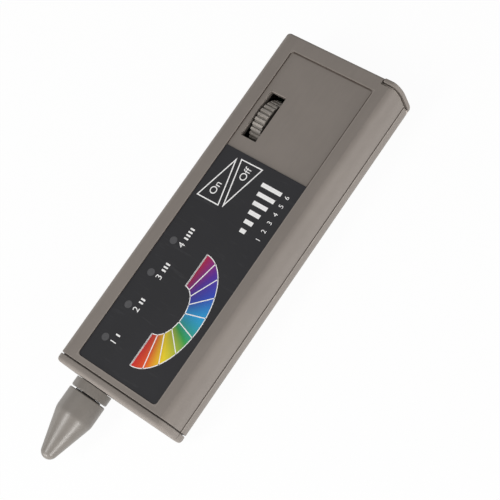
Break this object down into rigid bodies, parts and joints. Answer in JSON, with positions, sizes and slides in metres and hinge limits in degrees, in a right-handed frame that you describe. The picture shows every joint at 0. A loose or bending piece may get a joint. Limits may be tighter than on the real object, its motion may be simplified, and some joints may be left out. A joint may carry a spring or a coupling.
{
  "type": "diamond tester",
  "caption": "Handheld diamond tester: moulded two-part case with a capped probe, indicator lights, a thumbwheel and a battery door.",
  "frame": {"origin": "middle of the footprint on the surface that the tester lies on, at the middle of its overall length", "axes": "+Z out of the face, -Y towards the probe, +Y towards the battery door, +X to the right seen from above with the probe towards the viewer"},
  "size_m": [0.049, 0.165, 0.0233],
  "materials": {
    "case_plastic": "satin moulded",
    "label_film": "printed film",
    "wheel_plastic": "moulded",
    "cap_plastic": "satin moulded",
    "collar_plastic": "satin moulded",
    "black_plastic": "moulded",
    "copper": "polished copper",
    "steel": "plated",
    "board": "solder mask on laminate",
    "led_lens": "clear epoxy",
    "nylon": "natural",
    "ceramic": "unglazed ceramic",
    "battery_jacket": "satin",
    "foam": "foam",
    "red_insulation": "smooth",
    "black_insulation": "smooth"
  },
  "bodies": {
    "case": {"amplifier_chip": "black_plastic", "battery": "battery_jacket", "battery_crown": "steel", "battery_lead_1": "red_insulation", "battery_lead_2": "black_insulation", "battery_snap": "black_plastic", "battery_stud": "steel", "board_screw_1": "steel", "board_screw_2": "steel", "board_screw_3": "steel", "bottom_shell": "case_plastic", "buzzer": "black_plastic", "capacitor_1": "black_insulation", "capacitor_2": "black_insulation", "case_screw_1": "steel", "case_screw_2": "steel", "case_screw_3": "steel", "case_screw_4": "steel", "controller_chip": "black_plastic", "face_label": "label_film", "led_1": "led_lens", "led_2": "led_lens", "led_3": "led_lens", "led_4": "led_lens", "led_spacer_1": "nylon", "led_spacer_2": "nylon", "led_spacer_3": "nylon", "led_spacer_4": "nylon", "main_board": "board", "potentiometer": "black_plastic", "probe_collar": "collar_plastic", "probe_heater": "ceramic", "probe_lead_1": "red_insulation", "probe_lead_2": "black_insulation", "probe_plug": "nylon", "probe_sleeve": "black_plastic", "probe_spring": "steel", "top_shell": "case_plastic", "voltage_regulator": "black_plastic"},
    "wheel": {"thumbwheel": "wheel_plastic", "wheel_shaft": "steel", "wheel_screw": "steel"},
    "tip": {"probe_tip": "copper"},
    "cap": {"probe_cap": "cap_plastic"},
    "door": {"battery_door": "case_plastic", "battery_pad": "foam"}
  },
  "joints": [
    {"name": "wheel_turn", "type": "hinge", "parent": "case", "child": "wheel", "pos_m": [-0.01178, 0.05165, 0.0138], "axis": [1, 0, 0], "range_deg": [0, 270]},
    {"name": "tip_press", "type": "slide", "parent": "case", "child": "tip", "axis": [0, 1, 0], "range_m": [0, 0.0015], "stiffness_N_per_m": 400, "springref_m": -0.001, "deforming": ["probe_spring"]},
    {"name": "cap_pull", "type": "slide", "parent": "case", "child": "cap", "axis": [0, -1, 0], "range_m": [0, 0.03]},
    {"name": "door_pull", "type": "slide", "parent": "case", "child": "door", "axis": [0, 1, 0], "range_m": [0, 0.02]}
  ]
}
